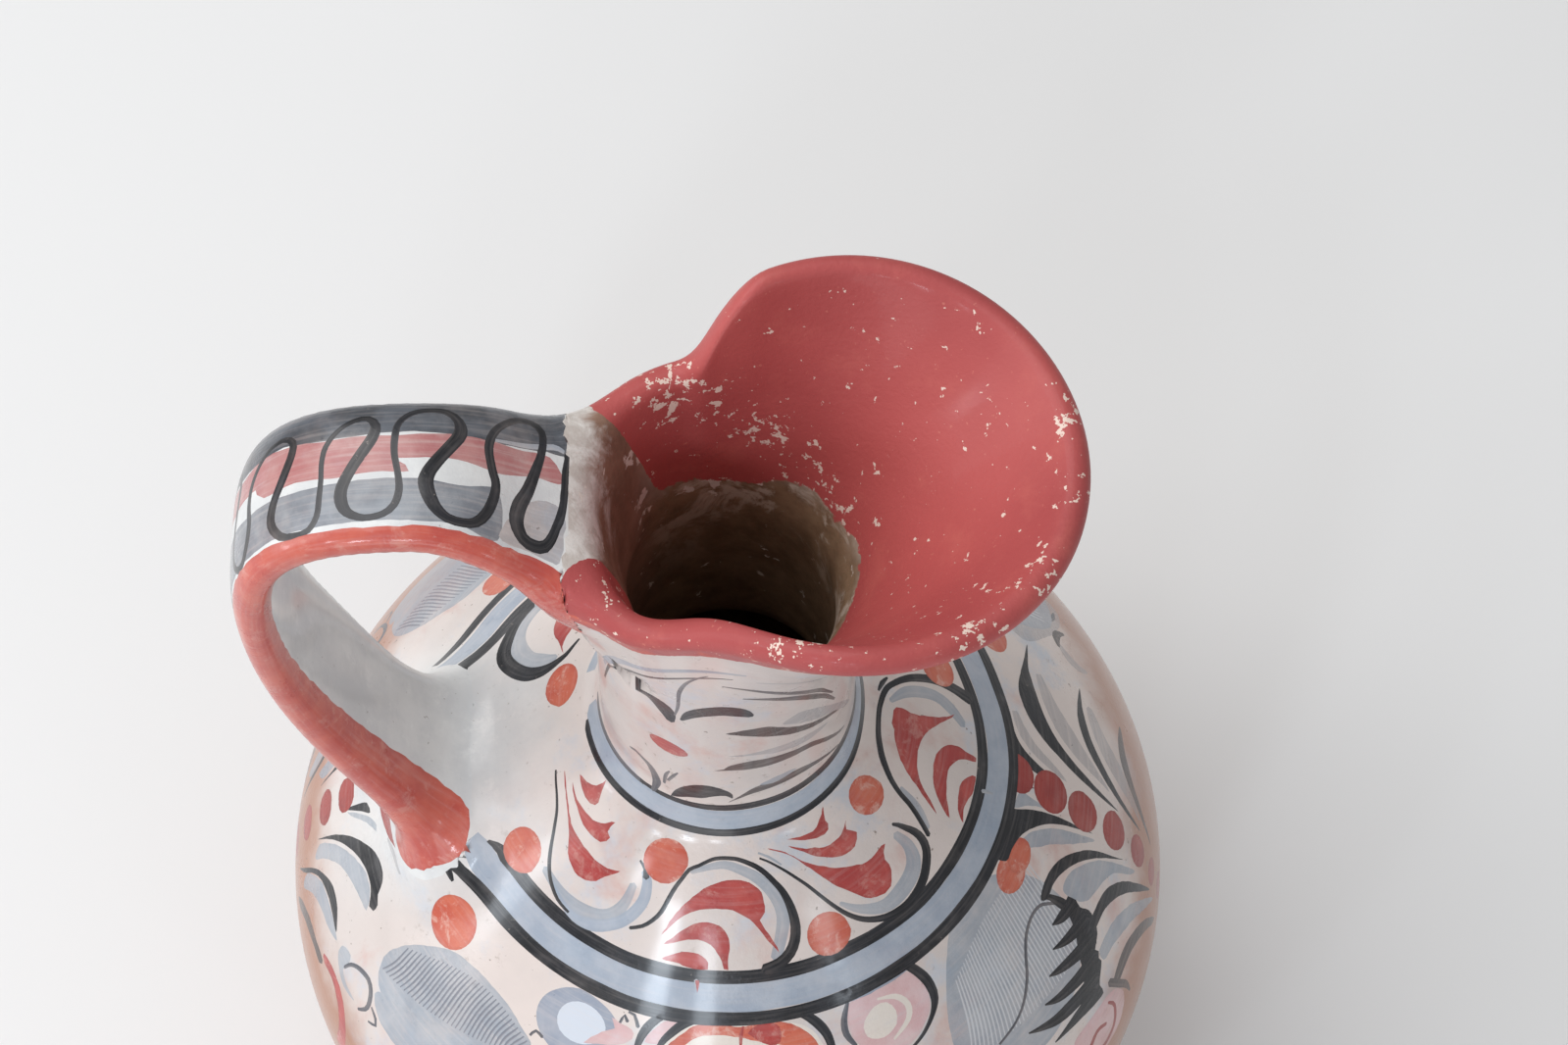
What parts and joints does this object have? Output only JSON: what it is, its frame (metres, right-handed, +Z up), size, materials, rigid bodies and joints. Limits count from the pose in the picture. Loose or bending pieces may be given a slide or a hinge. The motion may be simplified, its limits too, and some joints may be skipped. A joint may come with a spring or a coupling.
{
  "type": "pottery pitcher",
  "caption": "Round-bodied clay pitcher with a flat foot, short neck, wide pinched pouring lip and a strap handle, painted with leaf scrolls, rings and dots.",
  "frame": {"origin": "centre of the flat foot, on the surface that the pitcher stands on", "axes": "+Z up along the axis of the body and neck, +X toward the pouring lip, the handle toward -X"},
  "size_m": [0.21, 0.21, 0.3056],
  "materials": {
    "clay": "burnished clay slip, pale grey-pink, hand painted in blue-grey, black and brick red"
  },
  "bodies": {
    "root": {"pitcher": "clay"}
  },
  "joints": []
}
